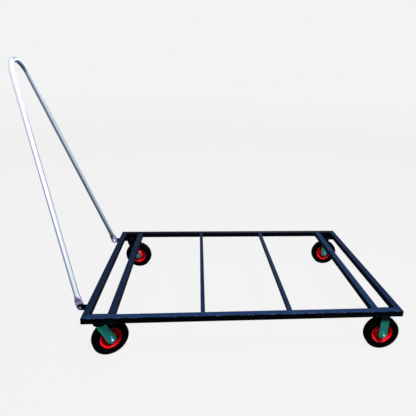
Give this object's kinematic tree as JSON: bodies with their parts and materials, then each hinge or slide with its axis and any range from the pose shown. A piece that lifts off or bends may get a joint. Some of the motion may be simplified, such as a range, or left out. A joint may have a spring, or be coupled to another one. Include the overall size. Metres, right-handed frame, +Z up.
{
  "type": "folding platform cart",
  "caption": "Low open-frame platform cart of welded square tube with swivel casters in front, fixed casters behind and a hairpin tow handle that folds.",
  "frame": {"origin": "centre of the cart's box in plan, on the floor under the tyres", "axes": "+X along the frame from the handle end to the fixed-caster end, +Y across it to the right side of whoever pulls, +Z up"},
  "size_m": [2.2825, 1.22, 1.6269],
  "materials": {
    "frame_paint": "navy blue semi-gloss paint on welded steel tube",
    "bracket_paint": "near-black semi-gloss paint on steel plate",
    "handle_steel": "bright zinc-plated round tube",
    "fork_zinc": "zinc plate with a green passivation tint on pressed steel",
    "bolt_zinc": "bright zinc-plated fasteners",
    "bearing_steel": "machined bearing steel",
    "rim_paint": "bright red gloss paint on pressed steel",
    "tyre_rubber": "black moulded rubber"
  },
  "bodies": {
    "frame": {"side_rail_left": "frame_paint", "side_rail_right": "frame_paint", "end_rail_front": "frame_paint", "cross_member_front": "frame_paint", "cross_bar_front": "frame_paint", "end_rail_rear": "frame_paint", "cross_member_rear": "frame_paint", "cross_bar_rear": "frame_paint", "handle_ear_left": "bracket_paint", "handle_ear_right": "bracket_paint", "pivot_bolts": "bolt_zinc", "pivot_washers": "bolt_zinc", "pivot_nuts": "bolt_zinc", "swivel_plate_left": "bracket_paint", "ball_race_left": "bracket_paint", "race_ring_left": "bearing_steel", "race_balls_left": "bearing_steel", "kingpin_left": "bolt_zinc", "fixed_plate_left": "bracket_paint", "fixed_fork_left": "fork_zinc", "axle_sleeve_rear_left": "bearing_steel", "swivel_plate_right": "bracket_paint", "ball_race_right": "bracket_paint", "race_ring_right": "bearing_steel", "race_balls_right": "bearing_steel", "kingpin_right": "bolt_zinc", "fixed_plate_right": "bracket_paint", "fixed_fork_right": "fork_zinc", "axle_sleeve_rear_right": "bearing_steel", "axle_bolts_rear": "bolt_zinc", "axle_nuts_rear": "bolt_zinc"},
    "handle": {"handle_tube": "handle_steel"},
    "swivel_left": {"swivel_fork_left": "fork_zinc", "axle_bolt_front_left": "bolt_zinc", "axle_nut_front_left": "bolt_zinc", "axle_sleeve_front_left": "bearing_steel"},
    "swivel_right": {"swivel_fork_right": "fork_zinc", "axle_bolt_front_right": "bolt_zinc", "axle_nut_front_right": "bolt_zinc", "axle_sleeve_front_right": "bearing_steel"},
    "wheel_front_left": {"tyre_front_left": "tyre_rubber", "rim_outer_front_left": "rim_paint", "rim_inner_front_left": "rim_paint", "hub_tube_front_left": "bearing_steel", "wheel_bearings_front_left": "bearing_steel"},
    "wheel_front_right": {"tyre_front_right": "tyre_rubber", "rim_outer_front_right": "rim_paint", "rim_inner_front_right": "rim_paint", "hub_tube_front_right": "bearing_steel", "wheel_bearings_front_right": "bearing_steel"},
    "wheel_rear_left": {"tyre_rear_left": "tyre_rubber", "rim_outer_rear_left": "rim_paint", "rim_inner_rear_left": "rim_paint", "hub_tube_rear_left": "bearing_steel", "wheel_bearings_rear_left": "bearing_steel"},
    "wheel_rear_right": {"tyre_rear_right": "tyre_rubber", "rim_outer_rear_right": "rim_paint", "rim_inner_rear_right": "rim_paint", "hub_tube_rear_right": "bearing_steel", "wheel_bearings_rear_right": "bearing_steel"}
  },
  "joints": [
    {"name": "handle_fold", "type": "hinge", "parent": "frame", "child": "handle", "pos_m": [-0.7451, 0, 0.265], "axis": [0, 1, 0], "range_deg": [-84, 42]},
    {"name": "swivel_left", "type": "hinge", "parent": "frame", "child": "swivel_left", "pos_m": [-0.6197, -0.556, 0.24], "axis": [0, 0, 1], "continuous": true},
    {"name": "wheel_spin_front_left", "type": "hinge", "parent": "swivel_left", "child": "wheel_front_left", "pos_m": [-0.57497, -0.53151, 0.105], "axis": [-0.4802, 0.8771, 0], "continuous": true},
    {"name": "swivel_right", "type": "hinge", "parent": "frame", "child": "swivel_right", "pos_m": [-0.6197, 0.556, 0.24], "axis": [0, 0, 1], "continuous": true},
    {"name": "wheel_spin_front_right", "type": "hinge", "parent": "swivel_right", "child": "wheel_front_right", "pos_m": [-0.56946, 0.54723, 0.105], "axis": [0.1719, 0.9851, 0], "continuous": true},
    {"name": "wheel_spin_rear_left", "type": "hinge", "parent": "frame", "child": "wheel_rear_left", "pos_m": [1.0363, -0.556, 0.105], "axis": [0, 1, 0], "continuous": true},
    {"name": "wheel_spin_rear_right", "type": "hinge", "parent": "frame", "child": "wheel_rear_right", "pos_m": [1.0363, 0.556, 0.105], "axis": [0, 1, 0], "continuous": true}
  ]
}
